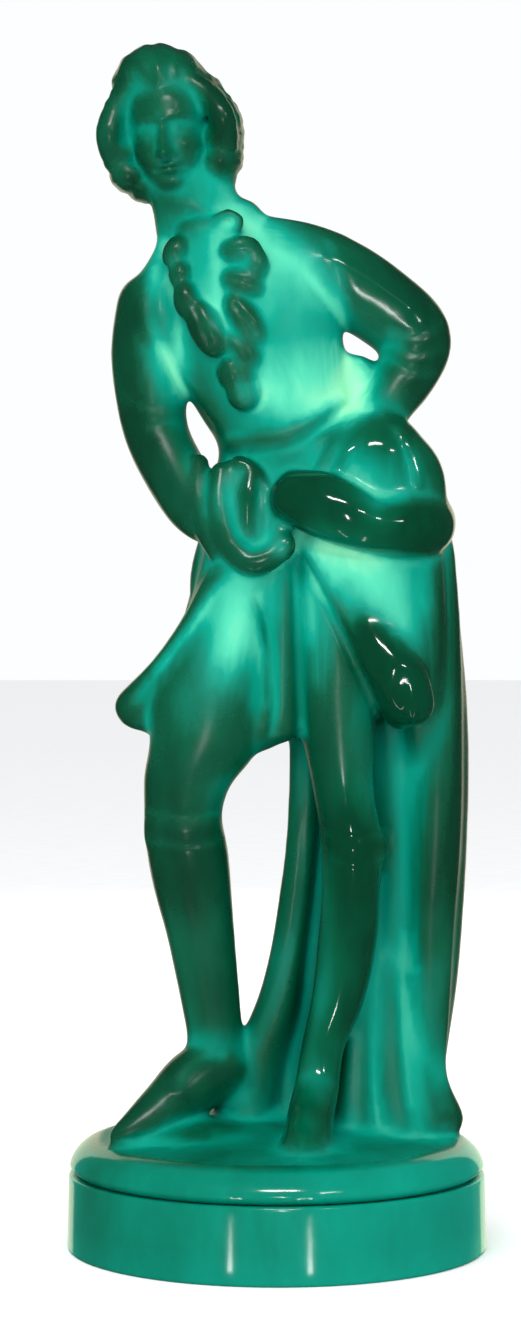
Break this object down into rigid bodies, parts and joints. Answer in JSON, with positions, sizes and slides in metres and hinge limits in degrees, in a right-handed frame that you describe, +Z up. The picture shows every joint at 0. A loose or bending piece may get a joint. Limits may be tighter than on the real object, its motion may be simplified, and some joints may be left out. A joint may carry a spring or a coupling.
{
  "type": "figural powder jar",
  "caption": "Round pressed-glass powder jar whose lid carries a standing costumed figure as its handle, with a powder puff inside.",
  "frame": {"origin": "centre of the bowl's foot, on the surface that the jar stands on", "axes": "+Z up through the figure, -Y the way the figure faces, +X its left hand's side"},
  "size_m": [0.08, 0.08, 0.2301],
  "materials": {
    "malachite_glass": "marbled jade-green pressed glass, nearly opaque: fire-polished and dark on raised parts, satin and paler in the hollows",
    "puff_velour": "deep soft pile",
    "puff_satin": "woven satin with a soft sheen"
  },
  "bodies": {
    "bowl": {"bowl": "malachite_glass"},
    "lid": {"figure_lid": "malachite_glass"},
    "puff": {"puff_pad": "puff_velour", "puff_back": "puff_satin", "puff_ribbon": "puff_satin"}
  },
  "joints": [
    {"name": "lid_lift", "type": "slide", "parent": "bowl", "child": "lid", "axis": [0, 0, 1], "range_m": [0, 0.07]},
    {"name": "puff_lift", "type": "slide", "parent": "bowl", "child": "puff", "axis": [0, 0, 1], "range_m": [0, 0.003]}
  ]
}
